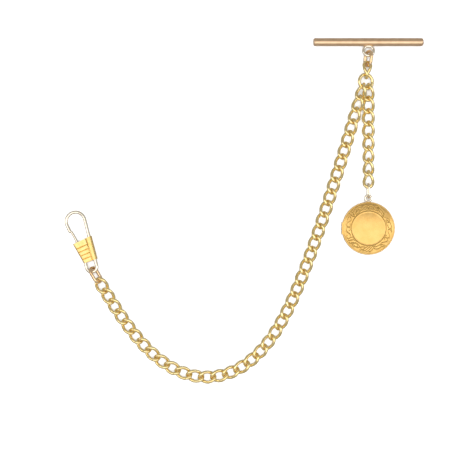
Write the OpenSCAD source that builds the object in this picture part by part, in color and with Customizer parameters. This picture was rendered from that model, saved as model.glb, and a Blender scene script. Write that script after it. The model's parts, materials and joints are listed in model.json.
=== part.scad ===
// Pocket watch chain (an Albert chain), laid out flat on a table.
// A T-bar goes through a waistcoat buttonhole, a long curb chain runs to the watch clip,
// and a short curb chain carries a round locket. X runs along the T-bar to the right, Y from the
// locket towards the T-bar, and Z up from the table. The origin is on the table, below the
// middle of the whole laid chain.

/* [Curb links] */
// Diameter of the wire that the links are bent from
wire = 1.2; // [1:0.05:1.25]
// Outside length of one curb link
link_length = 7.2; // [7.1:0.05:7.3]
// Outside width of one curb link, seen from above
link_width = 5.05; // [4.8:0.05:5.2]
// How far each end of a link is twisted out of the flat
link_twist = 46; // [42:1:50]
// Squareness of the link's outline, where 2 is an ellipse
link_squareness = 2.2; // [2:0.1:2.6]

/* [Long chain] */
// Number of curb links between the union ring and the clip link
long_links = 41; // [41:1:41]
// Distance from one crossing to the next
long_pitch = 4.63; // [4.6:0.01:4.65]
// Heading in which the long chain leaves the union ring
long_heading = -105.5; // [-108:0.5:-104]
// Lean that each link adds while the chain still runs straight
long_lean = 0.2; // [0.1:0.05:0.25]
// How far the chain turns round its low bend
bend_turn = 128; // [124:1:130]
// Link at the middle of the low bend
bend_middle = 28.6; // [28:0.1:29]
// Softness of the low bend, in links
bend_softness = 3; // [2.8:0.1:3.4]

/* [Short chain] */
// Number of curb links between the union ring and the locket ring
short_links = 8; // [8:2:8]
// Distance from one crossing to the next in the short chain
short_pitch = 4.72; // [4.68:0.01:4.72]
// Heading in which the short chain leaves the union ring
short_heading = -90; // [-90.5:0.5:-89.5]

/* [T-bar] */
// Length of the bar
bar_length = 41.8; // [38:0.1:45]
// Diameter of the bar
bar_diameter = 3; // [2.6:0.1:3.2]
// Radius of the rounded edge at each end of the bar
bar_edge = 0.7; // [0.3:0.1:1.2]
// Length of the band at the middle of the bar that the eye is soldered to
band_length = 4.6; // [4.4:0.1:6]
// Middle of the bar on the table
bar_at = [47.3, 64.1];
// Radius of the eye ring's wire line
eye_radius = 1.88; // [1.8:0.02:2]
// Diameter of the eye ring's wire
eye_wire = 1.1; // [0.9:0.05:1.15]

/* [Joining pieces] */
// Length of the straight sides of the plain link on the T-bar's eye
eye_link_straight = 1.7; // [1.6:0.1:1.8]
// Length of the straight sides of the plain link on the clip
clip_link_straight = 2.2; // [2.1:0.1:2.3]
// Radius of the wire line at the ends of the two plain links
plain_link_radius = 1.9; // [1.8:0.1:2]
// How far the two plain links stand up on their edge
plain_link_roll = 58; // [54:1:62]
// How far the curb link under the eye link is turned on its edge
turned_link_roll = -60; // [-64:1:-56]
// Radius of the union ring's wire line
union_radius = 2.75; // [2.7:0.05:2.85]
// Middle of the union ring on the table
union_at = [46.25, 48.95];

/* [Clip] */
// Radius of the wire line round the clip's hook
hook_radius = 3.55; // [3.4:0.05:3.7]
// Radius of the wire line round the clip's loop
loop_radius = 1.95; // [1.9:0.05:2.1]
// Distance between the middle of the hook's curve and the middle of the loop's curve
clip_span = 18.4; // [18:0.1:19]
// Diameter of the clip's wire
clip_wire_diameter = 1.2; // [1.1:0.05:1.3]
// Thickness of the clip's sleeve
sleeve_thickness = 2.2; // [2.1:0.1:2.4]
// Direction from the clip's loop to its hook
clip_heading = 110; // [108:1:112]
// How far the hook end of the clip dips towards the table
clip_dip = 4; // [3:0.5:5]

/* [Locket] */
// Radius of the locket
locket_radius = 10; // [9.5:0.1:10.2]
// Thickness of the closed locket
locket_thickness = 4; // [3.6:0.1:4.4]
// Thickness of the sheet that the shells are stamped from
locket_sheet = 0.45; // [0.35:0.05:0.6]
// Radius of the raised line round the plain middle of the front
border_radius = 6.35; // [6:0.05:6.8]
// Middle of the locket on the table
locket_at = [47.25, -6.7];
// Length of the locket's hinge
hinge_width = 4.6; // [4:0.1:5]
// Radius of the locket's hinge knuckles
knuckle_radius = 0.5; // [0.45:0.05:0.6]

/* [Hidden] */
$fn = 48;
fob_pairs = short_links / 2;
function chain_name(i) = str("chain_link_", i < 10 ? "0" : "", i);
function fob_name(i) = str("fob_links_", i);

// Sides of the swept wire, rings along one link, and the angle between two rings.
wire_sides = 8;
link_rings = 24;
ring_step = 360 / link_rings;

// The wire line of a link: half its length, and half its width.
link_half = (link_length - wire) / 2;
link_side = (link_width - wire) / 2;

// The clearance used where two rigid pieces run past each other.
gap = 0.05;

// A link's ends reach this far past the crossing with the next link.
crown_reach = link_half - long_pitch / 2;

// The crossings next to the union ring and next to the clip link are held up above the height
// at which a link rests on the table, and the rise dies away along the chain.
long_rise = 2.33;
short_rise = 0.72;
clip_rise = 0.9;
rise_softness = 1.5;

// The long chain's first links lie over the short chain's, both rolled like shingles, and the
// roll dies away along each chain. Towards the locket the short chain rolls on to its side.
long_roll = 45;
long_roll_softness = 3.6;
short_roll = 33;
short_roll_softness = 2.2;
side_roll = 44;
side_roll_from = 4.5;
side_roll_softness = 0.8;

// Directions from the union ring's middle to the first crossing of each chain.
long_leaves = -122;
short_leaves = -57.5;
union_height = 2.57;
union_tilt = -2;
union_roll = 20;

// How far a crossing lies inside the middle of the union ring, and of the clip's loop.
union_reach = 1.92;
loop_reach = 1.15;

// The T-bar lies on the table with its eye lifted by the link that stands in it. The eye is sunk
// into a band of solder that swells very slightly from the bar.
band_swell = 0.03;
eye_lift = 12;
eye_sink = 0.5;
eye_drop = (bar_diameter + eye_wire) / 2 + eye_radius - eye_sink;

// Crossings of the pieces between the T-bar and the union ring.
eye_crossing = [47.4, 59.7, 2.5];
turned_crossing = [46.9, 55.7, 2.3];
union_crossing = [46.5, 51.05, 2.3];

// The locket's ring, which is an oval standing on edge, and the bail that it hangs in.
locket_ring_straight = 2.3;
locket_ring_radius = 1.5;
locket_ring_wire = 0.8;
locket_ring_height = 1.95;
locket_ring_roll = 84;
bail_radius = 1.16;
bail_wire = 0.75;
bail_sink = 0.12;
locket_ring_half = locket_ring_straight / 2 + locket_ring_radius;
locket_ring_top = 10.17;
locket_ring_y = locket_ring_top - locket_ring_half;

// The locket's shells meet at its middle height. Each has a short straight rim and a dome.
half_locket = locket_thickness / 2;
locket_rim = 0.6;
border_bead = 0.18;
hinge_inset = 0.25;
hinge_x = hinge_inset - locket_radius;
pin_radius = 0.25;
knuckle_clearance = 0.12;
knuckle_length = (hinge_width - 2 * knuckle_clearance) / 3;
rim_sides = 96;
dome_sides = 240;

// The clip is drawn with its loop's middle at the origin and its hook's middle on the X axis.
// The straight back of the wire touches both curves, so its lean follows from their radii.
clip_lean = asin((hook_radius - loop_radius) / clip_span);
hook_tip_length = 2.6;
loop_arm_lean = 5;
loop_arm_length = 3.3;
sleeve_outline = [[2.2, -2.1], [11.1, -2.9], [10.4, 3.7], [2.2, 2.3]];
sleeve_room = [[3.6, -1.3], [12.5, -2.1], [12.5, 3.65], [3.6, 2.1]];
sleeve_wall = 0.4;
sleeve_grooves = 4;
groove_start = -1.3;
groove_width = 0.3;
groove_depth = 0.12;
gate_pivot = [9.3, 1.8];
gate_tip = [14.95, 2.7];
gate_wire = 0.9;
gate_root_radius = 0.8;
gate_pin_radius = 0.35;
clip_height = 2.13;
bend_swell = 0.02;

gold = [0.93, 0.74, 0.33];
deep_gold = [0.86, 0.62, 0.28];
rose_gold = [0.85, 0.6, 0.42];
pale_gold = [0.93, 0.86, 0.68];

// ---------------------------------------------------------------- curves and routes

function unit(v) = v / norm(v);
function signed_power(x, p) = sign(x) * pow(abs(x), p);

// A point on the wire line of a curb link: a squarish oval in the XY plane, with each end
// turned about X, one way at +X and the other way at -X.
function link_point(u) =
    let (c = signed_power(cos(u), 2 / link_squareness),
         s = signed_power(sin(u), 2 / link_squareness),
         turn = -link_twist * c)
    [link_half * c, link_side * s * cos(turn), link_side * s * sin(turn)];

// The corners of the wire's section at one place along a link.
function wire_ring(u) =
    let (middle = link_point(u),
         along = unit(link_point(u + ring_step / 4) - link_point(u - ring_step / 4)),
         outward = unit(middle - (middle * along) * along),
         across = cross(along, outward))
    [for (k = [0:wire_sides - 1])
        let (a = 360 * k / wire_sides)
        middle + wire / 2 * (outward * cos(a) + across * sin(a))];

// The long chain's heading falls slowly at first, then sweeps round the low bend.
function heading(k) =
    long_heading - long_lean * k - bend_turn / (1 + exp((bend_middle - k) / bend_softness));

function polar(length, angle) = length * [cos(angle), sin(angle)];
function lifted(p, height) = [p.x, p.y, height];

function long_shingle(i) = long_roll * exp(-(i - 1) / long_roll_softness);
function on_side(i) = side_roll / (1 + exp((side_roll_from - i) / side_roll_softness));
function short_shingle(i) = short_roll * exp(-(i - 1) / short_roll_softness) + on_side(i);

// The height of a link's middle when it rests on the table with this roll.
function rest_height(roll) =
    wire / 2 + max([for (u = [0:4:356])
        let (p = link_point(u)) abs(p.y * sin(roll) + p.z * cos(roll))]);
function long_height(k) =
    rest_height(0) + long_rise * exp(-k / rise_softness)
    + clip_rise * exp(-max(0, long_links - k) / rise_softness);
function short_height(k) =
    rest_height(on_side(k + 1 / 2)) + short_rise * exp(-k / rise_softness);

// Crossing k of the long chain is where link k meets link k + 1. Crossing 0 is on the union ring,
// and the last one is on the clip's loop.
long_crossings = [
    for (k = 0, p = union_at + polar(union_reach, long_leaves);
         k <= long_links + 1;
         p = p + polar(long_pitch, heading(k + 1)), k = k + 1)
        lifted(p, long_height(k))];

short_crossings = [
    for (k = [0:short_links])
        lifted(union_at + polar(union_reach, short_leaves) + polar(short_pitch * k, short_heading),
               short_height(k))];

clip_at = lifted(long_crossings[long_links + 1] + polar(loop_reach, clip_heading), clip_height);

// ---------------------------------------------------------------- shapes used more than once

// Lays a piece drawn along X with its middle at the origin between two crossings.
module between(start, end, roll = 0) {
    run = end - start;
    translate((start + end) / 2)
        rotate([roll, -atan2(run.z, norm([run.x, run.y])), atan2(run.y, run.x)])
            children();
}

module curb_link() {
    points = [for (r = [0:link_rings - 1]) each wire_ring(r * ring_step)];
    faces = [
        for (r = [0:link_rings - 1], k = [0:wire_sides - 1])
            let (next_ring = (r + 1) % link_rings, next_side = (k + 1) % wire_sides)
            [r * wire_sides + k, next_ring * wire_sides + k,
             next_ring * wire_sides + next_side, r * wire_sides + next_side]];
    polyhedron(points, faces);
}

module wire_arc(radius, diameter, angle) {
    rotate_extrude(angle = angle)
        translate([radius, 0]) circle(d = diameter);
}

module wire_rod(length, diameter) {
    rotate([0, 90, 0]) cylinder(d = diameter, h = length);
}

// An oval of wire with two straight sides along X.
module oval_link(straight, radius, diameter) {
    for (end = [0, 180])
        rotate(end) {
            translate([straight / 2, 0]) rotate(-90) wire_arc(radius, diameter, 180);
            translate([-straight / 2, radius]) wire_rod(straight, diameter);
        }
}

// A disc with a straight rim that rises to a shallow dome.
module domed_disc(radius, rim, depth) {
    rise = depth - rim;
    ball = (radius * radius + rise * rise) / (2 * rise);
    intersection() {
        cylinder(r = radius, h = depth, $fn = rim_sides);
        translate([0, 0, depth - ball]) sphere(r = ball, $fn = dome_sides);
    }
}

// ---------------------------------------------------------------- T-bar and joining pieces

// The round bar along the X axis, which swells very slightly to the solder at its middle.
module bar_shape() {
    bar_radius = bar_diameter / 2;
    rotate([0, 90, 0])
        rotate_extrude()
            for (end = [0, 1]) mirror([0, end]) {
                polygon([[0, 0], [bar_radius + band_swell, 0], [bar_radius, band_length / 2],
                         [0, band_length / 2]]);
                square([bar_radius - bar_edge, bar_length / 2]);
                square([bar_radius, bar_length / 2 - bar_edge]);
                translate([bar_radius - bar_edge, bar_length / 2 - bar_edge]) circle(bar_edge);
            }
}

module t_bar() {
    color(rose_gold) translate([bar_at.x, bar_at.y, bar_diameter / 2]) bar_shape();
}

// The eye ring is soldered to the middle of the bar, which is cut out of it.
module t_bar_eye() {
    color(pale_gold)
        translate([bar_at.x, bar_at.y, bar_diameter / 2])
            difference() {
                rotate([-eye_lift, 0, 0])
                    translate([0, -eye_drop, 0])
                        wire_arc(eye_radius, eye_wire, 360);
                bar_shape();
            }
}

module eye_link() {
    color(rose_gold)
        between(eye_crossing, turned_crossing, plain_link_roll)
            oval_link(eye_link_straight, plain_link_radius, wire);
}

module turned_link() {
    color(gold)
        between(turned_crossing, union_crossing, turned_link_roll)
            curb_link();
}

module union_ring() {
    color(gold)
        translate(lifted(union_at, union_height))
            rotate([union_tilt, union_roll, 0])
                wire_arc(union_radius, wire, 360);
}

// ---------------------------------------------------------------- long chain and its clip

module chain_link(i) {
    color(gold)
        between(long_crossings[i - 1], long_crossings[i], long_shingle(i))
            curb_link();
}

module clip_link() {
    color(rose_gold)
        between(long_crossings[long_links], long_crossings[long_links + 1], plain_link_roll)
            oval_link(clip_link_straight, plain_link_radius, wire);
}

// Lays the clip on the table from its own drawing plane.
module lay_clip() {
    translate(clip_at) rotate([0, clip_dip, clip_heading]) children();
}

// The straight back of the wire, from the loop's curve to the hook's curve.
module clip_back(diameter) {
    rotate(-clip_lean)
        translate([0, -loop_radius])
            wire_rod(clip_span * cos(clip_lean), diameter);
}

// Where the clip's wire starts or ends a bend, it is pressed very slightly thicker.
module wire_bend(radius, angle) {
    rotate(angle) translate([radius, 0]) sphere(d = clip_wire_diameter + 2 * bend_swell);
}

// One wire makes the hook, the back and the loop that holds the clip link.
module clip_wire() {
    turn = 90 + clip_lean;
    clip_back(clip_wire_diameter);
    translate([clip_span, 0]) {
        rotate(-turn) wire_arc(hook_radius, clip_wire_diameter, 2 * turn);
        rotate(turn) translate([hook_radius, 0]) rotate(90)
            wire_rod(hook_tip_length, clip_wire_diameter);
        for (side = [-turn, turn]) wire_bend(hook_radius, side);
    }
    rotate(90 - loop_arm_lean) {
        loop_turn = 180 + loop_arm_lean - clip_lean;
        wire_arc(loop_radius, clip_wire_diameter, loop_turn);
        translate([loop_radius, 0]) rotate(-90) wire_rod(loop_arm_length, clip_wire_diameter);
        for (side = [0, loop_turn]) wire_bend(loop_radius, side);
    }
}

module clip_hook() {
    color(pale_gold) lay_clip() clip_wire();
}

// A flat tapered sleeve of sheet is wrapped round the back and open towards the hook.
module sleeve_shape() {
    difference() {
        union() {
            translate([0, 0, -sleeve_thickness / 2])
                linear_extrude(sleeve_thickness) polygon(sleeve_outline);
            intersection() {
                clip_back(clip_wire_diameter + 2 * sleeve_wall);
                translate([sleeve_outline[0].x, -2 * hook_radius, -sleeve_thickness])
                    cube([sleeve_outline[1].x - sleeve_outline[0].x, 2 * hook_radius,
                          2 * sleeve_thickness]);
            }
        }
        translate([0, 0, sleeve_wall - sleeve_thickness / 2])
            linear_extrude(sleeve_thickness - 2 * sleeve_wall) polygon(sleeve_room);
    }
}

module sleeve_groove(x) {
    for (side = [-1, 1])
        translate([x - groove_width / 2, groove_start, side * sleeve_thickness / 2 - groove_depth])
            cube([groove_width, 2 * hook_radius, 2 * groove_depth]);
}

module clip_sleeve() {
    groove_pitch = (sleeve_outline[2].x - sleeve_outline[0].x) / (sleeve_grooves + 1);
    color(gold) lay_clip()
        difference() {
            sleeve_shape();
            clip_wire();
            for (g = [1:sleeve_grooves]) sleeve_groove(sleeve_outline[0].x + g * groove_pitch);
            translate(gate_pivot)
                cylinder(r = gate_pin_radius, h = 2 * sleeve_thickness, center = true);
        }
}

// The gate turns on a pin through the sleeve and closes the hook from the inside.
module clip_gate() {
    run = gate_tip - gate_pivot;
    root_thickness = sleeve_thickness - 2 * sleeve_wall - 4 * gap;
    color(pale_gold) lay_clip()
        translate(gate_pivot)
            difference() {
                union() {
                    cylinder(r = gate_root_radius, h = root_thickness, center = true);
                    rotate(atan2(run.y, run.x)) {
                        wire_rod(norm(run), gate_wire);
                        translate([norm(run), 0]) sphere(d = gate_wire);
                    }
                }
                cylinder(r = gate_pin_radius + gap, h = sleeve_thickness, center = true);
            }
}

module clip_gate_pin() {
    color(gold) lay_clip()
        translate(gate_pivot)
            cylinder(r = gate_pin_radius, h = sleeve_thickness, center = true);
}

// ---------------------------------------------------------------- short chain and locket

// Two links of the short chain, which share one piece of the model.
module fob_links(pair) {
    color(gold)
        for (i = [2 * pair - 1, 2 * pair])
            between(short_crossings[i - 1], short_crossings[i], short_shingle(i))
                curb_link();
}

module locket_ring() {
    color(pale_gold)
        translate([locket_at.x, locket_ring_y, locket_ring_height])
            rotate([locket_ring_roll, 0, -90])
                oval_link(locket_ring_straight, locket_ring_radius, locket_ring_wire);
}

// The bail is soldered to the rim of the back shell, just below the line where the shells meet.
module locket_bail() {
    bail_y = locket_radius + bail_radius + bail_wire / 2 - bail_sink;
    color(pale_gold)
        translate(locket_at)
            difference() {
                translate([0, bail_y, half_locket - gap - bail_wire / 2])
                    wire_arc(bail_radius, bail_wire, 360);
                cylinder(r = locket_radius, h = locket_thickness, $fn = rim_sides);
            }
}

// One shell of the locket, opening downwards at z = 0 and cleared round the hinge.
module locket_shell() {
    difference() {
        domed_disc(locket_radius, locket_rim, half_locket);
        domed_disc(locket_radius - locket_sheet, locket_rim - locket_sheet,
                   half_locket - locket_sheet);
        cylinder(r = 2 * locket_radius, h = gap);
        translate([hinge_x, 0, 0]) rotate([90, 0, 0])
            cylinder(r = knuckle_radius + knuckle_clearance,
                     h = hinge_width + 2 * knuckle_clearance, center = true);
    }
}

// A hinge knuckle at a place along the hinge, with the web that joins it to its shell.
module knuckle(y) {
    translate([hinge_x, y, 0]) {
        rotate([90, 0, 0]) cylinder(r = knuckle_radius, h = knuckle_length, center = true);
        translate([0, -knuckle_length / 2, gap])
            cube([2 * knuckle_radius, knuckle_length, locket_rim]);
    }
}

module hinge_bore(radius) {
    translate([hinge_x, 0, 0]) rotate([90, 0, 0])
        cylinder(r = radius, h = 2 * hinge_width, center = true);
}

module locket_front() {
    rise = half_locket - locket_rim;
    ball = (locket_radius * locket_radius + rise * rise) / (2 * rise);
    border_z = half_locket - ball + sqrt(ball * ball - border_radius * border_radius);
    color(deep_gold)
        translate([locket_at.x, locket_at.y, half_locket]) {
            difference() {
                union() {
                    locket_shell();
                    knuckle(0);
                }
                hinge_bore(pin_radius + gap);
            }
            translate([0, 0, border_z]) wire_arc(border_radius, 2 * border_bead, 360);
        }
}

module locket_back() {
    color(deep_gold)
        translate([locket_at.x, locket_at.y, half_locket])
            mirror([0, 0, 1])
                difference() {
                    union() {
                        locket_shell();
                        for (side = [-1, 1])
                            knuckle(side * (knuckle_length + knuckle_clearance));
                    }
                    hinge_bore(pin_radius);
                }
}

module locket_hinge_pin() {
    color(gold)
        translate([locket_at.x + hinge_x, locket_at.y, half_locket])
            rotate([90, 0, 0])
                cylinder(r = pin_radius, h = hinge_width, center = true);
}

t_bar();
t_bar_eye();
eye_link();
turned_link();
union_ring();
for (i = [1:long_links]) chain_link(i);
clip_link();
clip_hook();
clip_sleeve();
clip_gate();
clip_gate_pin();
for (i = [1:fob_pairs]) fob_links(i);
locket_ring();
locket_bail();
locket_back();
locket_front();
locket_hinge_pin();
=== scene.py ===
"""Pocket watch chain, laid out on a table.

A T-bar, a long curb chain that ends in a spring clip, and a short curb chain that carries an
engraved locket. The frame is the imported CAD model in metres. Lengths in this script are
millimetres until lay_surface puts them into a mesh."""

import json

import bpy
import numpy as np
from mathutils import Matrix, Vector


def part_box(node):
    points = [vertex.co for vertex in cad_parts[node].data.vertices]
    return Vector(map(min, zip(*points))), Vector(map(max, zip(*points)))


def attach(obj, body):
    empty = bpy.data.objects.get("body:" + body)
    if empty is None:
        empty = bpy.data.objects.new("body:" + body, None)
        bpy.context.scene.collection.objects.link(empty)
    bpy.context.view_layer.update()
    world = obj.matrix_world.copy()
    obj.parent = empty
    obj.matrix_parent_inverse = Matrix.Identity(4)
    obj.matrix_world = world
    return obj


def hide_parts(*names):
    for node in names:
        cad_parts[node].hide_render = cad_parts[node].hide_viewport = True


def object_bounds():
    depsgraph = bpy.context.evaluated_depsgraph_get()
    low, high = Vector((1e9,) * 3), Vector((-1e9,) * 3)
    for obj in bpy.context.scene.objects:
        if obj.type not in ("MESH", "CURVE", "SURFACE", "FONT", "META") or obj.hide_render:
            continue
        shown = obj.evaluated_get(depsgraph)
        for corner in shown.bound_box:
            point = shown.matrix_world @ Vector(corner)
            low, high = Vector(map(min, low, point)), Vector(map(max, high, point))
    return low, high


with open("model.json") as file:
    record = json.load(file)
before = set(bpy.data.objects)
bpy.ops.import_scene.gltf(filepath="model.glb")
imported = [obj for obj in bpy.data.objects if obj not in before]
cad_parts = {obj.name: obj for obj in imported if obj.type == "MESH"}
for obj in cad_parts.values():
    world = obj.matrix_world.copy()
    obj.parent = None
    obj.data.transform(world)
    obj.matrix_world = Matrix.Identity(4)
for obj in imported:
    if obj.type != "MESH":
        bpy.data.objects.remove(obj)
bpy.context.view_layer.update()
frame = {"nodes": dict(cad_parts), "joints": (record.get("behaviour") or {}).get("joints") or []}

# ------------------------------------------------------------------------------------ T-bar
# The bar is a drawn rod of rose gold, cut to length and rounded off at its ends, then rubbed
# lengthwise to a satin finish. A shallow band of solder round its middle holds the eye.

MILLIMETRE = 0.001
BAR_RADIUS = 1.5
BAR_HALF = 20.9
BAR_EDGE = 0.7
BAND_HALF = 2.3
BAND_SWELL = 0.03
END_LINE = 19.1
END_LINE_DEPTH = 0.05
END_LINE_WIDTH = 0.14
ROSE = (0.85, 0.60, 0.38)
DEEP_ROSE = (0.77, 0.52, 0.315)


def lay_surface(name, grid, closed=False, sharp=40):
    """A mesh from a grid of points in millimetres. Rows run along the piece and columns round
    it; every four neighbouring points make a face, and the last column meets the first. The
    last row meets the first where `closed`, or else each end row is closed by a fan to its
    middle. Faces are turned outwards, by the sign of the volume that they enclose."""
    rows, columns = grid.shape[:2]
    r, c = np.meshgrid(np.arange(rows if closed else rows - 1), np.arange(columns), indexing="ij")
    r, c = r.ravel(), c.ravel()
    corner_row = np.stack([r, r, r + 1, r + 1], 1)
    corner_column = np.stack([c, c + 1, c + 1, c], 1)
    faces = (corner_row % rows) * columns + corner_column % columns
    across = np.stack([corner_column / columns, corner_row / rows], 2)
    points = grid.reshape(-1, 3)
    fans, fan_across = np.zeros((0, 3), int), np.zeros((0, 3, 2))
    if not closed:
        middles = np.array([grid[0].mean(0), grid[-1].mean(0)])
        k = np.arange(columns)
        after = (k + 1) % columns
        last = (rows - 1) * columns
        start = np.stack([np.full(columns, rows * columns), after, k], 1)
        end = np.stack([np.full(columns, rows * columns + 1), last + k, last + after], 1)
        fans = np.concatenate([start, end])
        spread = np.stack([k / columns + 0.5 / columns, (k + 1) / columns, k / columns], 1)
        fan_across = np.stack([np.tile(spread, (2, 1)), np.zeros((2 * columns, 3))], 2)
        fan_across[columns:, :, 1] = 1
        points = np.concatenate([points, middles])
    first, second, third, fourth = (points[faces[:, corner]] for corner in range(4))
    volume = (np.cross(first, second) * third).sum() + (np.cross(first, third) * fourth).sum()
    if len(fans):
        volume += (np.cross(points[fans[:, 0]], points[fans[:, 1]]) * points[fans[:, 2]]).sum()
    if volume < 0:
        faces, across = faces[:, ::-1], across[:, ::-1]
        fans, fan_across = fans[:, ::-1], fan_across[:, ::-1]
    mesh = bpy.data.meshes.new(name)
    mesh.from_pydata((points * MILLIMETRE).tolist(), [], faces.tolist() + fans.tolist())
    unrolled = mesh.uv_layers.new(name="unrolled")
    corners = np.concatenate([across.reshape(-1, 2), fan_across.reshape(-1, 2)])
    unrolled.data.foreach_set("uv", corners.astype(np.float32).ravel())
    mesh.shade_smooth()
    mesh.set_sharp_from_angle(angle=np.radians(sharp))
    piece = bpy.data.objects.new(name, mesh)
    bpy.context.scene.collection.objects.link(piece)
    return piece


def put_on(piece, finish, body, slot, *nodes):
    """Gives a piece its finish, puts it under its CAD body and hides the CAD nodes that it stands
    for. `slot` is not used.
    """
    piece.data.materials.append(finish)
    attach(piece, body)
    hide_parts(*nodes)
    return piece


def gold_finish(name, bright, deep, roughness, spread=0.08, marks=(1, 1, 1), mark_depth=0.5,
                drift=700):
    """A gold whose tone drifts between two colours over a millimetre or two, whose roughness
    changes in small patches, and whose surface carries fine marks, drawn out by `marks`."""
    finish = bpy.data.materials.new(name)
    finish.use_nodes = True
    nodes, links = finish.node_tree.nodes, finish.node_tree.links
    metal = nodes["Principled BSDF"]
    metal.inputs["Metallic"].default_value = 1.0
    place = nodes.new("ShaderNodeTexCoord")

    tone = nodes.new("ShaderNodeTexNoise")
    tone.inputs["Scale"].default_value = drift
    tone.inputs["Detail"].default_value = 4
    mix = nodes.new("ShaderNodeMix")
    mix.data_type = "RGBA"
    mix.inputs["A"].default_value = (*deep, 1)
    mix.inputs["B"].default_value = (*bright, 1)
    even = nodes.new("ShaderNodeMapRange")
    even.inputs["From Min"].default_value = 0.3
    even.inputs["From Max"].default_value = 0.62
    links.new(place.outputs["Object"], tone.inputs["Vector"])
    links.new(tone.outputs["Fac"], even.inputs["Value"])
    links.new(even.outputs["Result"], mix.inputs["Factor"])
    links.new(mix.outputs["Result"], metal.inputs["Base Color"])

    patches = nodes.new("ShaderNodeTexNoise")
    patches.inputs["Scale"].default_value = drift * 4
    patches.inputs["Detail"].default_value = 5
    rubbed = nodes.new("ShaderNodeMapRange")
    rubbed.inputs["From Min"].default_value = 0.3
    rubbed.inputs["From Max"].default_value = 0.7
    rubbed.inputs["To Min"].default_value = roughness - spread / 2
    rubbed.inputs["To Max"].default_value = roughness + spread / 2
    links.new(place.outputs["Object"], patches.inputs["Vector"])
    links.new(patches.outputs["Fac"], rubbed.inputs["Value"])
    links.new(rubbed.outputs["Result"], metal.inputs["Roughness"])

    drawn = nodes.new("ShaderNodeMapping")
    drawn.inputs["Scale"].default_value = marks
    scratches = nodes.new("ShaderNodeTexNoise")
    scratches.inputs["Scale"].default_value = drift * 12
    scratches.inputs["Detail"].default_value = 3
    bump = nodes.new("ShaderNodeBump")
    bump.inputs["Strength"].default_value = mark_depth
    bump.inputs["Distance"].default_value = 0.00001
    links.new(place.outputs["Object"], drawn.inputs["Vector"])
    links.new(drawn.outputs["Vector"], scratches.inputs["Vector"])
    links.new(scratches.outputs["Fac"], bump.inputs["Height"])
    links.new(bump.outputs["Normal"], metal.inputs["Normal"])
    return finish


def hump(x, at, width):
    """A bell curve, one at its middle, that has died away at two widths from it."""
    return np.exp(-(((x - at) / width) ** 2))


def t_bar_surface():
    """A circle carried along the X axis: its radius is the rod's, slightly more at the solder
    band and less at a fine turned line near each end, where a quarter circle closes it."""
    turn = np.radians(np.linspace(90, 0, 10))
    end_x = BAR_HALF - BAR_EDGE + BAR_EDGE * np.sin(turn)
    end_r = BAR_RADIUS - BAR_EDGE + BAR_EDGE * np.cos(turn)
    x = np.linspace(0, BAR_HALF - BAR_EDGE, 160, endpoint=False)[::-1]
    r = BAR_RADIUS + BAND_SWELL * np.clip(1 - x / BAND_HALF, 0, 1)
    r = r - END_LINE_DEPTH * hump(x, END_LINE, END_LINE_WIDTH)
    half_x = np.concatenate([[BAR_HALF, BAR_HALF], end_x, x])
    half_r = np.concatenate([[0.01, 0.5 * (BAR_RADIUS - BAR_EDGE)], end_r, r])
    along = np.concatenate([half_x, -half_x[-2::-1]])[:, None]
    radius = np.concatenate([half_r, half_r[-2::-1]])[:, None]
    a = np.linspace(0, 2 * np.pi, 64, endpoint=False)[None, :]
    return np.stack([along + 0 * a, radius * np.cos(a), radius * np.sin(a)], 2)


def millimetres(vector):
    return np.array(vector) / MILLIMETRE


bar_low, bar_high = (millimetres(corner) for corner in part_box("t_bar"))
bar_middle = (bar_low + bar_high) / 2
satin_rose = gold_finish("satin_rose_gold", ROSE, DEEP_ROSE, 0.34, spread=0.1,
                         marks=(0.02, 1, 1), mark_depth=0.6, drift=500)
put_on(lay_surface("t_bar_rod", t_bar_surface() + bar_middle), satin_rose,
       "t_bar", "bar_gold", "t_bar")

# -------------------------------------------------------------------------------- T-bar eye
# A small ring of pale gold wire, bent round a rod, closed and soldered to the bar's band. It
# is lifted off the table a little by the link that stands in it.

EYE_RADIUS = 1.88
EYE_WIRE = 1.1
EYE_DROP = 3.48
EYE_LIFT = 12
PALE = (0.99, 0.92, 0.78)
DEEP_PALE = (0.93, 0.80, 0.60)


def turned(points, x=0, y=0, z=0):
    """Points turned by these angles in degrees, first about X, then Y, then Z."""
    cx, sx = np.cos(np.radians(x)), np.sin(np.radians(x))
    cy, sy = np.cos(np.radians(y)), np.sin(np.radians(y))
    cz, sz = np.cos(np.radians(z)), np.sin(np.radians(z))
    about_x = np.array([[1, 0, 0], [0, cx, -sx], [0, sx, cx]])
    about_y = np.array([[cy, 0, sy], [0, 1, 0], [-sy, 0, cy]])
    about_z = np.array([[cz, -sz, 0], [sz, cz, 0], [0, 0, 1]])
    return points @ (about_z @ about_y @ about_x).T


def unit(v):
    return v / np.linalg.norm(v, axis=-1, keepdims=True)


def wire_along(line, outward, radius, sides=20, closed=True):
    """A round wire: a circle carried along a line, square to it. `outward` leans the circle's
    first point away from the piece's middle, and `radius` may change along the line."""
    if closed:
        ahead, behind = np.roll(line, -1, 0), np.roll(line, 1, 0)
        along = unit(ahead - behind)
    else:
        along = unit(np.gradient(line, axis=0))
    out = unit(outward - (outward * along).sum(1, keepdims=True) * along)
    side = np.cross(along, out)
    a = np.linspace(0, 2 * np.pi, sides, endpoint=False)[None, :, None]
    thick = np.broadcast_to(radius, len(line))[:, None, None]
    return line[:, None] + thick * (out[:, None] * np.cos(a) + side[:, None] * np.sin(a))


def ring_line(radius, count=96):
    """A circle in the XY plane."""
    a = np.linspace(0, 2 * np.pi, count, endpoint=False)
    return radius * np.stack([np.cos(a), np.sin(a), 0 * a], 1)


eye = wire_along(ring_line(EYE_RADIUS), ring_line(1), EYE_WIRE / 2)
eye = turned(eye + [0, -EYE_DROP, 0], x=-EYE_LIFT) + bar_middle
pale = gold_finish("polished_pale_gold", PALE, DEEP_PALE, 0.13)
put_on(lay_surface("t_bar_eye_ring", eye, closed=True), pale, "t_bar", "pale_gold", "t_bar_eye")

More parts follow.
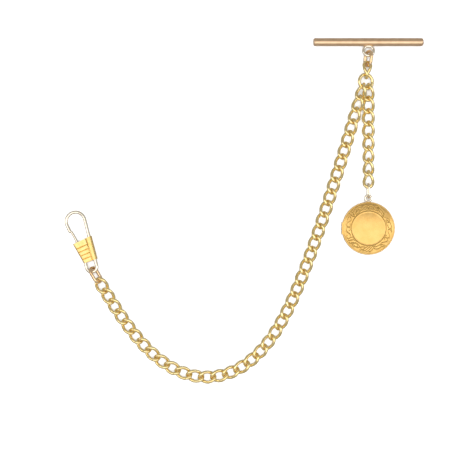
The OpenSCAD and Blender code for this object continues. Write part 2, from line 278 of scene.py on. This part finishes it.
# ---------------------------------------------------------------------- eye link, clip link
# Two plain oval jump links of rosier wire, which stand half on edge. One joins the T-bar's
# eye to the chain, and the other joins the long chain to the clip's loop.

WIRE = 1.2
PLAIN_RADIUS = 1.9
PLAIN_ROLL = 58
EYE_LINK_STRAIGHT = 1.7
CLIP_LINK_STRAIGHT = 2.2
WARM = (0.96, 0.72, 0.44)
DEEP_WARM = (0.80, 0.52, 0.27)

joint_at = {j["name"]: millimetres(j["pos_m"]) for j in frame["joints"]}


def between(points, start, end, roll=0):
    """Points drawn along X round the origin, rolled about X and laid from start to end."""
    run = end - start
    rise = np.degrees(np.arctan2(run[2], np.hypot(run[0], run[1])))
    heading = np.degrees(np.arctan2(run[1], run[0]))
    return turned(turned(points, x=roll), y=-rise, z=heading) + (start + end) / 2


def oval_line(straight, radius, count=96):
    """A running-track line along X: half circles at both ends, with straight sides between."""
    ring = ring_line(radius, count)
    return ring + np.sign(ring[:, :1]) * [[straight / 2, 0, 0]]


def plain_link(straight):
    """A round wire carried along the running-track line."""
    line = oval_line(straight, PLAIN_RADIUS)
    return wire_along(line, line, WIRE / 2)


warm = gold_finish("polished_rose_gold", WARM, DEEP_WARM, 0.14)
eye_link = between(plain_link(EYE_LINK_STRAIGHT), joint_at["eye_link_swing"],
                   joint_at["turned_link_swing"], PLAIN_ROLL)
put_on(lay_surface("eye_link_wire", eye_link, closed=True), warm,
       "eye_link", "rose_gold", "eye_link")
clip_link = between(plain_link(CLIP_LINK_STRAIGHT), joint_at["clip_link_swing"],
                    joint_at["clip_swing"], PLAIN_ROLL)
put_on(lay_surface("clip_link_wire", clip_link, closed=True), warm,
       "clip_link", "rose_gold", "clip_link")

# ------------------------------------------------------------------------------- curb links
# Every curb link is an oval of round wire, soldered shut and then twisted, so that the chain
# lies flat. One link, turned on its edge, joins the eye link to the union ring.

LINK_HALF = 3.0
LINK_SIDE = 1.925
LINK_TWIST = 46
SQUARENESS = 2.2
TURNED_ROLL = -60
WORN = 0.015
YELLOW = (1.0, 0.83, 0.44)
DEEP_YELLOW = (0.95, 0.71, 0.28)


def curb_link(count=72):
    """A squarish oval whose ends are turned about X, one way at one end and the other way at
    the other, by an angle that follows the way along the link, with a round wire carried
    along it that has worn very slightly thin."""
    u = np.linspace(0, 2 * np.pi, count, endpoint=False)
    c = np.sign(np.cos(u)) * np.abs(np.cos(u)) ** (2 / SQUARENESS)
    s = np.sign(np.sin(u)) * np.abs(np.sin(u)) ** (2 / SQUARENESS)
    turn = np.radians(-LINK_TWIST * c)
    line = np.stack([LINK_HALF * c, LINK_SIDE * s * np.cos(turn), LINK_SIDE * s * np.sin(turn)], 1)
    return wire_along(line, line, WIRE / 2 - WORN)


curb = curb_link()
yellow = gold_finish("polished_yellow_gold", YELLOW, DEEP_YELLOW, 0.14)
turned_link = between(curb, joint_at["turned_link_swing"], joint_at["union_ring_swing"],
                      TURNED_ROLL)
put_on(lay_surface("turned_link_wire", turned_link, closed=True), yellow,
       "turned_link", "chain_gold", "turned_link")

# ------------------------------------------------------------------------------- union ring
# A round ring of the same wire, from which both curb chains hang.

UNION_RADIUS = 2.75
UNION_REACH = 1.92
UNION_HEIGHT = 2.57
UNION_TILT = -2
UNION_ROLL = 20
LONG_LEAVES = -122


def polar(length, angle):
    return length * np.array([np.cos(np.radians(angle)), np.sin(np.radians(angle)), 0])


union_middle = joint_at["link_bend_01"] - polar(UNION_REACH, LONG_LEAVES)
union_middle[2] = UNION_HEIGHT
union = wire_along(ring_line(UNION_RADIUS), ring_line(1), WIRE / 2)
union = turned(union, x=UNION_TILT, y=UNION_ROLL) + union_middle
put_on(lay_surface("union_ring_wire", union, closed=True), yellow,
       "union_ring", "chain_gold", "union_ring")

# ------------------------------------------------------------------------------- long chain
# Forty-one curb links. Its first links lie over the short chain, rolled like shingles, and
# the roll dies away along the chain.

LONG_LINKS = 41
LONG_ROLL = 45
LONG_ROLL_SOFTNESS = 3.6

long_crossings = [joint_at[f"link_bend_{k:02d}"] for k in range(1, LONG_LINKS + 1)]
long_crossings.append(joint_at["clip_link_swing"])
for k in range(LONG_LINKS):
    node = f"chain_link_{k + 1:02d}"
    shingle = LONG_ROLL * np.exp(-k / LONG_ROLL_SOFTNESS)
    link = between(curb, long_crossings[k], long_crossings[k + 1], shingle)
    put_on(lay_surface(f"curb_{k + 1:02d}", link, closed=True), yellow,
           node, "chain_gold", node)

# ------------------------------------------------------------------------------ short chain
# Eight curb links, which hang straight down from the union ring to the locket's ring and
# roll on to their side on the way.

SHORT_LINKS = 8
SHORT_PITCH = 4.72
SHORT_ROLL = 33
SHORT_ROLL_SOFTNESS = 2.2
SIDE_ROLL = 44
SIDE_ROLL_FROM = 4.5
SIDE_ROLL_SOFTNESS = 0.8
SHORT_RISE = 0.72
RISE_SOFTNESS = 1.5


def on_side(i):
    return SIDE_ROLL / (1 + np.exp((SIDE_ROLL_FROM - i) / SIDE_ROLL_SOFTNESS))


step = np.arange(SHORT_LINKS + 1)
short_crossings = joint_at["fob_bend_1"] + np.outer(step, polar(SHORT_PITCH, -90))
for k in step:
    rolled = turned(curb, x=on_side(k + 0.5))[..., 2]
    short_crossings[k, 2] = rolled.max() + SHORT_RISE * np.exp(-k / RISE_SOFTNESS)
for k in range(SHORT_LINKS):
    node = f"fob_links_{k // 2 + 1}"
    shingle = SHORT_ROLL * np.exp(-k / SHORT_ROLL_SOFTNESS) + on_side(k + 1)
    link = between(curb, short_crossings[k], short_crossings[k + 1], shingle)
    put_on(lay_surface(f"short_curb_{k + 1}", link, closed=True), yellow,
           node, "chain_gold", node)

# ------------------------------------------------------------------------------- clip wire
# One springy wire of pale gold makes the clip's loop, its straight back and its hook. Both
# ends are rounded; one is hidden in the sleeve, and the gate closes on the other.

HOOK_RADIUS = 3.55
LOOP_RADIUS = 1.95
CLIP_SPAN = 18.4
CLIP_WIRE = 1.2
CLIP_HEADING = 110
CLIP_DIP = 4
CLIP_HEIGHT = 2.13
LOOP_REACH = 1.15
HOOK_TIP = 2.6
ARM_LEAN = 5
ARM_LENGTH = 3.3

clip_lean = np.degrees(np.arcsin((HOOK_RADIUS - LOOP_RADIUS) / CLIP_SPAN))
clip_at = joint_at["clip_swing"] + polar(LOOP_REACH, CLIP_HEADING)
clip_at[2] = CLIP_HEIGHT


def lay_clip(points):
    """Points from the clip's own drawing plane, laid on the table."""
    return turned(points, y=CLIP_DIP, z=CLIP_HEADING) + clip_at


def rounded_wire(line, normal, radius, sides=20):
    """A round wire along an open line, with a half ball at each end."""
    a = np.radians(np.linspace(88, 9, 8))
    first, last = unit(line[0] - line[1]), unit(line[-1] - line[-2])
    reach = radius * np.sin(a)[:, None]
    whole = np.concatenate([line[0] + reach * first, line, (line[-1] + reach * last)[::-1]])
    thin = radius * np.cos(a)
    thick = np.concatenate([thin, np.full(len(line), radius), thin[::-1]])
    return wire_along(whole, np.broadcast_to(normal, whole.shape), thick, sides, closed=False)


def clip_line():
    """The arm in the sleeve, a turn round the loop, the straight back, a turn round the hook
    and the straight tip, as one flat line."""
    turn = 90 + clip_lean
    loop_from, loop_to = 90 - ARM_LEAN, 270 - clip_lean
    loop_start, loop_end = polar(LOOP_RADIUS, loop_from), polar(LOOP_RADIUS, loop_to)
    arm = loop_start + np.outer(np.linspace(ARM_LENGTH, 0, 12, endpoint=False),
                                polar(1, loop_from - 90))
    loop = np.array([polar(LOOP_RADIUS, a) for a in np.linspace(loop_from, loop_to, 60)])
    hook = np.array([polar(HOOK_RADIUS, a) for a in np.linspace(-turn, turn, 90)])
    hook = hook + [CLIP_SPAN, 0, 0]
    share = np.linspace(0, 1, 62)[1:-1, None]
    back = loop_end + share * (hook[0] - loop_end)
    tip = hook[-1] + np.outer(np.linspace(0, HOOK_TIP, 13)[1:], polar(1, turn + 90))
    return np.concatenate([arm, loop, back, hook, tip])


clip = lay_clip(rounded_wire(clip_line(), [0, 0, 1], CLIP_WIRE / 2))
put_on(lay_surface("clip_wire", clip), pale, "clip", "pale_gold", "clip_hook")

# ------------------------------------------------------------------------------ clip sleeve
# A tapered sleeve of thin yellow gold sheet, folded round the back of the clip and pressed
# with cross grooves. It is open towards the hook, where the gate comes out.

SLEEVE_START = 2.2
SLEEVE_FLOOR = 3.6
SLEEVE_END_BACK = 11.1
SLEEVE_END_FRONT = 10.4
SLEEVE_FRONT_FROM = 2.3
SLEEVE_FRONT_TO = 3.7
SLEEVE_HALF = 1.1
SLEEVE_WALL = 0.4
SLEEVE_WRAP = 1.0
SLEEVE_FRONT_EDGE = 0.55
SLEEVE_STEP = 6
SLEEVE_MOUTH_DIP = 0.25
GROOVES = 4
GROOVE_DEPTH = 0.20
GROOVE_WIDTH = 0.13
PANEL_SWELL = 0.012
SWELL_POWER = 0.7
PANEL_FROM = 0.2
PANEL_TO = 0.97
PANEL_FADE = 0.06
PRESSED_ABOVE = 0.5
CREASE_AT = 0.185
CREASE_DEPTH = 0.32
CREASE_WIDTH = 0.03
TUCK = (0.9, 0.85)
SATIN = (0.93, 0.68, 0.28)
DEEP_SATIN = (0.86, 0.58, 0.20)


def sleeve_section(x, inset):
    """The sleeve's cross-section at each x: half round at the back wire, flat panels above and
    below, and a rounded front edge. `inset` moves it inwards for the inside of the sheet."""
    taper = (x - SLEEVE_START) / (SLEEVE_END_FRONT - SLEEVE_START)
    lean = np.radians(clip_lean)
    back_y = -LOOP_RADIUS / np.cos(lean) - x * np.tan(lean)
    front_y = SLEEVE_FRONT_FROM + taper * (SLEEVE_FRONT_TO - SLEEVE_FRONT_FROM)
    front = front_y - SLEEVE_FRONT_EDGE
    wrap = SLEEVE_WRAP - inset
    high = SLEEVE_HALF - inset
    back_turn = np.radians(np.linspace(90, 270, 25))[None, :]
    front_turn = np.radians(np.linspace(-90, 90, 17))[None, :]
    share = np.linspace(0, 1, 42)[None, 1:-1]
    panel_y = back_y + share * (front - back_y)
    panel_z = wrap + (high - wrap) * np.clip(share * SLEEVE_STEP, 0, 1) + 0 * x
    front_reach = SLEEVE_FRONT_EDGE - inset
    y = np.concatenate([back_y + wrap * np.cos(back_turn), panel_y,
                        front + front_reach * np.cos(front_turn), panel_y[:, ::-1]], 1)
    z = np.concatenate([wrap * np.sin(back_turn) + 0 * x, -panel_z,
                        high * np.sin(front_turn) + 0 * x, panel_z[:, ::-1]], 1)
    return y, z, back_y, front_y


def sleeve_surface():
    """The section carried along the clip's back, out along the outside of the sheet and back
    along its inside. The outside is tucked in at its start. It is pressed in at the cross
    grooves and along the crease between the round back and the panel, and it swells slightly
    between the grooves."""
    share = np.linspace(0, 1, 120)[:, None]
    x = SLEEVE_START + share * (SLEEVE_END_BACK - SLEEVE_START)
    y, z, back_y, front_y = sleeve_section(x, 0.0)
    across = (y - back_y) / (front_y - back_y)
    mouth = SLEEVE_END_BACK + across * (SLEEVE_END_FRONT - SLEEVE_END_BACK)
    mouth = mouth - SLEEVE_MOUTH_DIP * np.clip(across * (1 - across), 0, 1)

    pitch = (SLEEVE_END_FRONT - SLEEVE_START) / (GROOVES + 1)
    along = (x - SLEEVE_START) / pitch
    nearest = np.round(along)
    from_groove = (along - nearest) * pitch
    has_groove = (nearest > 0.5) & (nearest < GROOVES + 0.5)
    groove = np.where(has_groove, hump(from_groove, 0, GROOVE_WIDTH), 0)
    swell = np.sin(np.pi * (along % 1)) ** SWELL_POWER
    panel = np.clip((across - PANEL_FROM) / PANEL_FADE, 0, 1)
    panel = panel * np.clip((PANEL_TO - across) / PANEL_FADE, 0, 1)
    crease = hump(across, CREASE_AT, CREASE_WIDTH)
    press = panel * (GROOVE_DEPTH * groove - PANEL_SWELL * swell) + CREASE_DEPTH * crease
    z = z - np.sign(z) * press * (np.abs(z) > PRESSED_ABOVE)
    outside = np.stack([SLEEVE_START + share * (mouth - SLEEVE_START), y, z], 2)

    tuck = outside[:1].copy()
    middle = tuck[:, :, 1].mean()
    tuck[:, :, 1] = (tuck[:, :, 1] - middle) * TUCK[0] + middle
    tuck[:, :, 2] *= TUCK[1]

    floor_share = (SLEEVE_FLOOR - SLEEVE_START) / (SLEEVE_END_BACK - SLEEVE_START)
    back = floor_share + np.linspace(1, 0, 24)[:, None] * (1 - floor_share)
    x_in = SLEEVE_START + back * (SLEEVE_END_BACK - SLEEVE_START)
    y_in, z_in, _, _ = sleeve_section(x_in, SLEEVE_WALL)
    inside = np.stack([SLEEVE_START + back * (mouth[-1:] - SLEEVE_START), y_in, z_in], 2)
    return np.concatenate([tuck, outside, inside])


satin = gold_finish("satin_yellow_gold", SATIN, DEEP_SATIN, 0.24, spread=0.1)
put_on(lay_surface("clip_sleeve_sheet", lay_clip(sleeve_surface())), satin,
       "clip", "sleeve_gold", "clip_sleeve")

# ------------------------------------------------------------------------------- clip gate
# A straight wire of pale gold with a flattened foot, which turns on a pin through the sleeve.
# The two plain pins, this one and the locket's, stay as they are and take the satin gold.

GATE_PIVOT = np.array([9.3, 1.8, 0])
GATE_TIP = np.array([14.95, 2.7, 0])
GATE_WIRE = 0.9
GATE_FOOT = 0.8
GATE_FOOT_BORE = 0.4
GATE_FOOT_HALF = 0.6
GATE_FOOT_CORNER = 0.4
GATE_CLEAR = 0.07


def gate_foot():
    """A squarish section, a superellipse, carried round the pin's axis as a thick washer."""
    around = np.linspace(0, 2 * np.pi, 48, endpoint=False)[:, None]
    a = np.linspace(0, 2 * np.pi, 32, endpoint=False)[None, :]
    middle, half = (GATE_FOOT + GATE_FOOT_BORE) / 2, (GATE_FOOT - GATE_FOOT_BORE) / 2
    r = middle + half * np.sign(np.cos(a)) * np.abs(np.cos(a)) ** GATE_FOOT_CORNER
    z = GATE_FOOT_HALF * np.sign(np.sin(a)) * np.abs(np.sin(a)) ** GATE_FOOT_CORNER
    ring = np.stack([r * np.cos(around), r * np.sin(around), z + 0 * around], 2)
    return ring + GATE_PIVOT


gate_run = unit(GATE_TIP - GATE_PIVOT)
gate_from = GATE_PIVOT + gate_run * (GATE_FOOT_BORE + GATE_WIRE / 2 + GATE_CLEAR)
gate_line = gate_from + np.linspace(0, 1, 40)[:, None] * (GATE_TIP - gate_from)
gate = lay_clip(rounded_wire(gate_line, [0, 0, 1], GATE_WIRE / 2, 16))
put_on(lay_surface("clip_gate_wire", gate), pale, "clip_gate", "pale_gold", "clip_gate")
put_on(lay_surface("clip_gate_foot", lay_clip(gate_foot()), closed=True), pale,
       "clip_gate", "pale_gold", "clip_gate")

for node in ("clip_gate_pin", "locket_hinge_pin"):
    frame["nodes"][node].data.materials.clear()
    frame["nodes"][node].data.materials.append(satin)

# ------------------------------------------------------------------------ locket ring, bail
# A narrow oval ring of pale wire stands on edge through the last curb link, and hangs the
# locket by a small bail that is soldered to its rim.

RING_STRAIGHT = 2.3
RING_RADIUS = 1.5
RING_WIRE = 0.8
RING_ROLL = 84
BAIL_RADIUS = 1.16
BAIL_WIRE = 0.75
BAIL_SINK = 0.12
LOCKET_RADIUS = 10
HINGE_INSET = 0.25
GAP = 0.05

ring_low, ring_high = (millimetres(corner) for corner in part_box("locket_ring"))
line = oval_line(RING_STRAIGHT, RING_RADIUS)
locket_ring = turned(turned(wire_along(line, line, RING_WIRE / 2), x=RING_ROLL), z=-90)
put_on(lay_surface("locket_ring_wire", locket_ring + (ring_low + ring_high) / 2, closed=True),
       pale, "locket_ring", "pale_gold", "locket_ring")

locket_middle = joint_at["cover_open"] + [LOCKET_RADIUS - HINGE_INSET, 0, 0]
bail_drop = [0, LOCKET_RADIUS + BAIL_RADIUS + BAIL_WIRE / 2 - BAIL_SINK, -GAP - BAIL_WIRE / 2]
bail = wire_along(ring_line(BAIL_RADIUS), ring_line(1), BAIL_WIRE / 2)
put_on(lay_surface("locket_bail_wire", bail + locket_middle + bail_drop, closed=True), pale,
       "locket", "pale_gold", "locket_bail")

# ---------------------------------------------------------------------------- locket shells
# Two shallow shells stamped from sheet, which open on a hinge at the left. The front has a
# plain satin middle inside a raised line, and a border of hand-engraved scrolls and leaves.

LOCKET_HALF = 2.0
SHEET = 0.45
RIM = 0.6
RIM_ROUND = 0.25
FINE_FROM = 5.93
FINE_STEP = 0.08
BEAD_AT = 6.35
BEAD_HEIGHT = 0.11
BEAD_WIDTH = 0.2
INNER_LINE_AT = 6.69
INNER_LINE_WIDTH = 0.13
OUTER_LINE_AT = 9.58
OUTER_LINE_WIDTH = 0.1
LINE_DEPTH = 0.06
# How much painted shade the turned line outside the bead and the one near the rim get.
INNER_LINE_SHADE = 0.9
OUTER_LINE_SHADE = 0.35
BORDER_START = 6.7
BORDER_MIDDLE = 7.95
BORDER_END = 9.5
BORDER_FADE = 0.2
CUT_DEPTH = 0.08
CUT_WIDTH = 0.2
CUT_REACH = 0.8
FAR = 9.0
BURR = 1.6
HINGE_HALF = 2.42
HINGE_ROOM = 0.62
LOCKET_GOLD = (0.83, 0.525, 0.178)
DEEP_LOCKET = (0.77, 0.46, 0.14)
# CUT_SHADE is the brown of the painted shade in the cuts and turned lines.
CUT_SHADE = (0.45, 0.27, 0.06)

rise = LOCKET_HALF - RIM
dome = (LOCKET_RADIUS**2 + rise**2) / (2 * rise)


def dome_height(r):
    return LOCKET_HALF - dome + np.sqrt(dome**2 - r**2)


def scroll(clock, height, lean, length, first_turn, last_turn, power=1.5):
    """An engraved line as distances clockwise round the border and outwards from its middle.
    Its direction leans from the clockwise way, and turns ever faster towards each end by
    these angles in degrees, so that opposite signs make an S and equal signs a C."""
    t = np.linspace(-1, 1, 60)
    turn = np.where(t < 0, -first_turn, last_turn) * np.abs(t) ** power
    heading = np.radians(lean + turn)
    step = length / (len(t) - 1) * np.stack([np.cos(heading), np.sin(heading)], 1)
    line = np.cumsum(step, 0)
    start = np.radians(clock) * BORDER_MIDDLE
    return line - (line.max(0) + line.min(0)) / 2 + [start, height]


def leaf(clock, height, lean, length, belly):
    """Two arcs that meet at both ends."""
    bow = length * np.radians(belly) / 4
    aside = bow * np.array([-np.sin(np.radians(lean)), np.cos(np.radians(lean))])
    upper = scroll(clock, height, lean, length, -belly, -belly, 1) + aside / 2
    lower = scroll(clock, height, lean, length, belly, belly, 1) - aside / 2
    return [upper, lower]


def engraved_lines():
    """The border from the top, clockwise: a pair of S-scrolls, wavy leaf stems, a scroll, a long
    narrow leaf with a punched dot, two scrolls, stems, slanting strokes, a crossing, petals,
    two scrolls and a fan of leaves."""
    lines = [scroll(345, 0.0, 45, 8.2, 280, -280), scroll(14, 0.0, -45, 8.2, -280, 280),
             scroll(35, 0.55, -8, 5.4, 50, -50, 1.2), scroll(39, -0.45, -8, 5.4, 50, -50, 1.2),
             scroll(59, 0.1, 50, 7.4, 200, -300), scroll(91, 0.4, 0, 0.8, 170, 170, 1),
             scroll(105, 0.0, 45, 8.2, 280, -280), scroll(131, 0.0, -45, 8.2, -280, 280),
             scroll(151, 0.55, 6, 4.6, 60, -60, 1.2), scroll(154, -0.5, 6, 4.6, 60, -60, 1.2),
             scroll(206, 0.0, 36, 4.6, 45, -60), scroll(206, 0.0, -36, 4.6, -45, 60),
             scroll(258, 0.0, 45, 9.5, 300, -300), scroll(288, 0.0, -45, 8.2, -280, 280)]
    lines += leaf(80, -0.05, 15, 4.4, 26)
    lines += [scroll(169 + 8 * k, 0.0, 46, 3.4, 20, -30) for k in range(4)]
    for k in range(3):
        lines += leaf(221 + 9 * k, 0.25 - 0.25 * k, 15 + 35 * k, 2.9, 42)
        lines += leaf(311 + 8.5 * k, 0.3 - 0.3 * k, 85 - 38 * k, 3.0, 36)
    return lines


def nearest_line(around, out, lines):
    """How far each grid point is from the nearest engraved line. Each line is tried only on the
    columns that it passes, and on the same columns one turn away."""
    lap = 2 * np.pi * BORDER_MIDDLE
    nearest = np.full(np.broadcast_shapes(around.shape, out.shape), FAR)
    for line in lines:
        for shift in (-lap, 0, lap):
            low = line[:, 0].min() + shift - CUT_REACH
            high = line[:, 0].max() + shift + CUT_REACH
            near = np.flatnonzero((around[0] > low) & (around[0] < high))
            if len(near):
                s = around[:, near, None] - line[:, 0] - shift
                apart = np.hypot(s, out[:, :, None] - line[:, 1]).min(2)
                nearest[:, near] = np.minimum(nearest[:, near], apart)
    return nearest


def shell_surface(columns=720, engraved=True):
    """A profile turned about Z: over the dome, round the rim's edge, down to the lip and back
    under the dome at the sheet's thickness. The front is raised at the line round its middle
    and cut along the engraved lines, whose sides stand slightly proud. The lip is cleared
    round the hinge. Also gives painted shade for the cuts and for the two turned lines, from
    nought to one."""
    middle = np.linspace(0.01, FINE_FROM - FINE_STEP, 12)
    border = np.linspace(FINE_FROM, LOCKET_RADIUS - RIM_ROUND, 68)
    r_out = np.concatenate([middle, border])
    z_out = dome_height(r_out)
    a = np.radians(np.linspace(70, 0, 6))
    r_edge = LOCKET_RADIUS - RIM_ROUND + RIM_ROUND * np.cos(a)
    z_edge = dome_height(LOCKET_RADIUS - RIM_ROUND) - RIM_ROUND + RIM_ROUND * np.sin(a)
    r_lip = np.array([LOCKET_RADIUS, LOCKET_RADIUS - SHEET])
    z_lip = np.array([GAP, GAP])
    r_in = np.linspace(LOCKET_RADIUS - SHEET, 0.01, 20)
    z_in = dome_height(np.minimum(r_in + SHEET, LOCKET_RADIUS)) - SHEET
    r = np.concatenate([r_out, r_edge, r_lip, r_in])[:, None]
    z = np.concatenate([z_out, z_edge, z_lip, z_in])[:, None]
    angle = np.linspace(0, 2 * np.pi, columns, endpoint=False)[None, :]
    z = z + 0 * angle
    cuts = np.zeros_like(z)
    if engraved:
        top = slice(0, len(r_out))
        clockwise = (np.pi / 2 - angle) % (2 * np.pi) * BORDER_MIDDLE
        apart = nearest_line(clockwise + 0 * r[top], r[top] - BORDER_MIDDLE, engraved_lines())
        inside = np.clip((r[top] - BORDER_START) / BORDER_FADE, 0, 1)
        inside = inside * np.clip((BORDER_END - r[top]) / BORDER_FADE, 0, 1)
        wide = (apart / CUT_WIDTH) ** 2
        cut = inside * (1 - BURR * wide) * np.exp(-wide)
        bead = hump(r[top], BEAD_AT, BEAD_WIDTH)
        inner_line = hump(r[top], INNER_LINE_AT, INNER_LINE_WIDTH)
        outer_line = hump(r[top], OUTER_LINE_AT, OUTER_LINE_WIDTH)
        z[top] += BEAD_HEIGHT * bead - LINE_DEPTH * (inner_line + outer_line) - CUT_DEPTH * cut
        # Painted shade: the cuts and the two turned lines are darkened in colour as well as in
        # shape.
        cuts[top] = np.clip(cut, 0, 1) + INNER_LINE_SHADE * inner_line
        cuts[top] += OUTER_LINE_SHADE * outer_line
    x, y = r * np.cos(angle), r * np.sin(angle)
    room = HINGE_ROOM**2 - (x + LOCKET_RADIUS - HINGE_INSET) ** 2
    room = np.sqrt(np.clip(room, 0, None)) * (np.abs(y) < HINGE_HALF) * (x < 0)
    return np.stack([x, y, np.maximum(z, room)], 2), cuts


def mark_cuts(piece, cuts):
    """Keeps the painted shade of the cuts and turned lines on the mesh's points, for the finish to
    darken them.
    """
    depth = piece.data.attributes.new("painted_cut_shade", "FLOAT", "POINT")
    values = np.zeros(len(piece.data.vertices), np.float32)
    values[:cuts.size] = cuts.ravel()
    depth.data.foreach_set("value", values)


def darken_cuts(finish):
    """Painted shade in the engraved cuts and turned lines: the gold's colour is mixed towards a
    brown by the painted shade kept on the mesh."""
    nodes, links = finish.node_tree.nodes, finish.node_tree.links
    metal = nodes["Principled BSDF"]
    depth = nodes.new("ShaderNodeAttribute")
    depth.attribute_name = "painted_cut_shade"
    shade = nodes.new("ShaderNodeMix")
    shade.data_type = "RGBA"
    shade.inputs["B"].default_value = (*CUT_SHADE, 1)
    gold = metal.inputs["Base Color"].links[0].from_socket
    links.new(gold, shade.inputs["A"])
    links.new(depth.outputs["Fac"], shade.inputs["Factor"])
    links.new(shade.outputs["Result"], metal.inputs["Base Color"])
    return finish


locket_gold = gold_finish("locket_gold", LOCKET_GOLD, DEEP_LOCKET, 0.30, drift=350)
# The engraved front's gold carries the painted shade of its cuts and turned lines.
engraved_gold = darken_cuts(gold_finish("engraved_gold", LOCKET_GOLD, DEEP_LOCKET, 0.30,
                                        drift=350))
front, cuts = shell_surface()
front_shell = lay_surface("locket_front_shell", front + locket_middle, sharp=60)
mark_cuts(front_shell, cuts)
put_on(front_shell, engraved_gold, "locket_cover", "locket_gold", "locket_front")
back, _ = shell_surface(240, engraved=False)
put_on(lay_surface("locket_back_shell", back * [1, 1, -1] + locket_middle), locket_gold,
       "locket", "locket_gold", "locket_back")

# ---------------------------------------------------------------------------- locket hinge
# Three short barrels of rolled sheet, one on the cover between two on the back, threaded on
# one pin.

KNUCKLE_RADIUS = 0.5
KNUCKLE_LENGTH = 1.45
KNUCKLE_PITCH = 1.57
KNUCKLE_EDGE = 0.12
WEB_ACROSS = 0.4
WEB_UP = 0.6


def knuckle_surface(y, up):
    """A circle drawn out to a point at the shell, carried along Y with its end edges rounded.
    The point lies along a tangent of the circle from either side."""
    a = np.linspace(0, 2 * np.pi, 64, endpoint=False)[None, :]
    to_point = np.arctan2(WEB_UP, WEB_ACROSS)
    reach = np.arccos(KNUCKLE_RADIUS / np.hypot(WEB_ACROSS, WEB_UP))
    off = np.abs((a - to_point + np.pi) % (2 * np.pi) - np.pi)
    r = KNUCKLE_RADIUS / np.where(off < reach, np.cos(reach - off), 1)
    end = np.radians(np.linspace(90, 0, 6))
    run = KNUCKLE_LENGTH / 2 - KNUCKLE_EDGE * (1 - np.sin(end))
    shrink = 1 - KNUCKLE_EDGE / KNUCKLE_RADIUS * (1 - np.cos(end))
    along = np.concatenate([run, np.linspace(0.5, -0.5, 6), -run[::-1]])[:, None]
    scale = np.concatenate([shrink, np.ones(6), shrink[::-1]])[:, None]
    return np.stack([scale * r * np.cos(a), y + along + 0 * a, up * scale * r * np.sin(a)], 2)


hinge_at = joint_at["cover_open"]
put_on(lay_surface("cover_knuckle", knuckle_surface(0, 1) + hinge_at), locket_gold,
       "locket_cover", "locket_gold", "locket_front")
for name, y in (("back_knuckle_1", -KNUCKLE_PITCH), ("back_knuckle_2", KNUCKLE_PITCH)):
    put_on(lay_surface(name, knuckle_surface(y, -1) + hinge_at), locket_gold,
           "locket", "locket_gold", "locket_back")

# -------------------------------------------------------------------- table, light, camera
# A plain white table at the lowest point of the chain, under soft light, seen from straight
# above. The table is kept out of the gold's reflections, and a lamp that the gold doesn't
# reflect keeps it white. Lengths here are metres.

TABLE_HALF = 2
CAMERA_AT = (-0.00264, -0.00998, 0.5)
LENS = 99.6
SENSOR = 36
PAPER = (0.9, 0.9, 0.9, 1)
SKY = (0.43, 0.425, 0.42, 1)
SIDE_LAMP_TILT = np.radians(30)

table_top = min(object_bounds()[0][2], 0)
corners = [(-1, -1), (1, -1), (1, 1), (-1, 1)]
table = bpy.data.objects.new("table", bpy.data.meshes.new("table"))
table.data.from_pydata([(TABLE_HALF * x, TABLE_HALF * y, table_top) for x, y in corners], [],
                       [(0, 1, 2, 3)])
bpy.context.scene.collection.objects.link(table)
paper = bpy.data.materials.new("white_paper")
paper.use_nodes = True
paper.node_tree.nodes["Principled BSDF"].inputs["Base Color"].default_value = PAPER
paper.node_tree.nodes["Principled BSDF"].inputs["Roughness"].default_value = 0.9
table.data.materials.append(paper)
table.visible_glossy = False

world = bpy.data.worlds.new("studio")
bpy.context.scene.world = world
world.use_nodes = True
sky = world.node_tree.nodes["Background"]
sky.inputs["Color"].default_value = SKY
sky.inputs["Strength"].default_value = 1.0


def soft_box(name, at, width, depth, glow):
    """A lamp at a place in metres. One that hangs overhead faces straight down, and one at the
    side faces the middle of the table. `glow` is how bright its face looks."""
    lamp = bpy.data.lights.new(name, "AREA")
    lamp.shape = "RECTANGLE"
    lamp.size, lamp.size_y = width, depth
    lamp.energy = glow * np.pi * width * depth
    box = bpy.data.objects.new(name, lamp)
    box.location = at
    tilt = np.arctan2(np.hypot(at[0], at[1]), at[2])
    if tilt > SIDE_LAMP_TILT:
        box.rotation_euler = (tilt, 0, np.arctan2(at[1], at[0]) + np.pi / 2)
    bpy.context.scene.collection.objects.link(box)
    return box


soft_box("overhead", (0.075, -0.14, 0.5), 0.65, 0.57, 1.17)
soft_box("left_window", (-0.62, 0.05, 0.60), 0.42, 0.42, 1.6)
soft_box("right_window", (0.72, 0.0, 0.55), 0.42, 0.42, 1.6)
table_fill = soft_box("table_fill", (0.0, 0.0, 1.2), 1.2, 1.2, 4.0)
table_fill.visible_glossy = False

camera = bpy.data.objects.new("camera", bpy.data.cameras.new("camera"))
camera.data.sensor_width = SENSOR
camera.data.lens = LENS
camera.location = CAMERA_AT
bpy.context.scene.collection.objects.link(camera)
bpy.context.scene.camera = camera
bpy.context.scene.view_settings.view_transform = "Standard"
